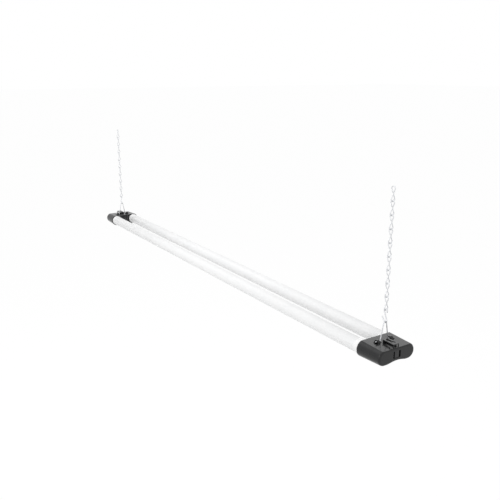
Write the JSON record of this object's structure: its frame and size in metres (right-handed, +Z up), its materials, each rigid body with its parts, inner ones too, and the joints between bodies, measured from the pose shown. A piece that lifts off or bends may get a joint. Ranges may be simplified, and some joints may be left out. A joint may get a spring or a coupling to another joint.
{
  "type": "hanging shop light",
  "caption": "Chain-hung shop light with parallel frosted tubes between moulded end caps, carried by V-hooks, S-hooks and jack chain.",
  "frame": {"origin": "midway between the two points where the ceiling hooks carry the chains", "axes": "+X along the light to the end with the link outlet, +Y across the light, +Z up"},
  "size_m": [1.208, 0.0834, 0.2891],
  "materials": {
    "chain_zinc": "bright zinc plate, slightly dulled",
    "hook_zinc": "bright zinc plate",
    "cap_plastic": "fine-grained dark grey moulding",
    "cover_plastic": "satin dark grey moulding",
    "inner_plastic": "plain black moulding",
    "screw_steel": "black oxide",
    "gasket_rubber": "soft black rubber",
    "tube_frosted": "frosted white polycarbonate",
    "collar_plastic": "milky polycarbonate",
    "carrier_aluminium": "mill finish",
    "board_white": "white solder mask on a laminate",
    "lamp_phosphor": "yellow phosphor under clear resin",
    "socket_plastic": "black moulding",
    "contact_copper": "rolled copper alloy",
    "pin_brass": "turned brass",
    "wire_pvc": "white insulated wire",
    "board_green": "green laminate",
    "transformer_tape": "yellow tape over a ferrite core",
    "capacitor_can": "sleeved aluminium can",
    "choke_winding": "enamelled copper wire",
    "fuse_glass": "clear glass with metal ends",
    "terminal_plastic": "green moulding"
  },
  "bodies": {
    "ceiling_links": {"near_link_1": "chain_zinc", "far_link_1": "chain_zinc"},
    "near_link": {"near_link_2": "chain_zinc"},
    "near_chain": {"near_link_3": "chain_zinc", "near_link_4": "chain_zinc", "near_link_5": "chain_zinc", "near_link_6": "chain_zinc", "near_link_7": "chain_zinc", "near_link_8": "chain_zinc", "near_link_9": "chain_zinc", "near_s_hook": "hook_zinc", "near_v_hook": "hook_zinc"},
    "light": {"near_end_cap": "cap_plastic", "far_end_cap": "cap_plastic", "near_web_cover": "inner_plastic", "far_web_cover": "inner_plastic", "near_cover_screws": "screw_steel", "far_cover_screws": "screw_steel", "near_gaskets": "gasket_rubber", "far_gaskets": "gasket_rubber", "front_tube": "tube_frosted", "rear_tube": "tube_frosted", "front_collars": "collar_plastic", "rear_collars": "collar_plastic", "front_carrier": "carrier_aluminium", "rear_carrier": "carrier_aluminium", "front_led_board": "board_white", "rear_led_board": "board_white", "front_leds": "lamp_phosphor", "rear_leds": "lamp_phosphor", "link_outlet": "socket_plastic", "outlet_contacts": "contact_copper", "power_inlet": "socket_plastic", "inlet_pins": "pin_brass", "through_wires": "wire_pvc", "led_leads": "wire_pvc", "driver_board": "board_green", "driver_transformer": "transformer_tape", "driver_capacitor": "capacitor_can", "driver_choke": "choke_winding", "driver_fuse": "fuse_glass", "driver_terminal": "terminal_plastic"},
    "far_chain": {"far_link_3": "chain_zinc", "far_link_4": "chain_zinc", "far_link_5": "chain_zinc", "far_link_6": "chain_zinc", "far_link_7": "chain_zinc", "far_link_8": "chain_zinc", "far_link_9": "chain_zinc", "far_s_hook": "hook_zinc", "far_v_hook": "hook_zinc"},
    "far_link": {"far_link_2": "chain_zinc"},
    "outlet_cover": {"outlet_cover": "cover_plastic"}
  },
  "joints": [
    {"name": "side_sway", "type": "hinge", "parent": "ceiling_links", "child": "near_link", "pos_m": [0.573, 0, -0.0216], "axis": [1, 0, 0], "range_deg": [-30, 30]},
    {"name": "near_chain_swing", "type": "hinge", "parent": "near_link", "child": "near_chain", "pos_m": [0.573, 0, -0.0462], "axis": [0, 1, 0], "range_deg": [-25, 25]},
    {"name": "light_swing", "type": "hinge", "parent": "near_chain", "child": "light", "pos_m": [0.573, 0, -0.2564], "axis": [0, 1, 0], "range_deg": [-25, 25]},
    {"name": "far_chain_swing", "type": "hinge", "parent": "far_link", "child": "far_chain", "pos_m": [-0.573, 0, -0.0462], "axis": [0, 1, 0], "range_deg": [-25, 25]},
    {"name": "far_sway", "type": "hinge", "parent": "ceiling_links", "child": "far_link", "pos_m": [-0.573, 0, -0.0216], "axis": [1, 0, 0], "range_deg": [-30, 30]},
    {"name": "cover_pull", "type": "slide", "parent": "light", "child": "outlet_cover", "axis": [1, 0, 0], "range_m": [0, 0.012]}
  ],
  "couplings": [
    {"joint": "near_chain_swing", "follows": "light_swing", "ratio": -1},
    {"joint": "far_chain_swing", "follows": "light_swing", "ratio": -1},
    {"joint": "far_sway", "follows": "side_sway", "ratio": 1}
  ]
}
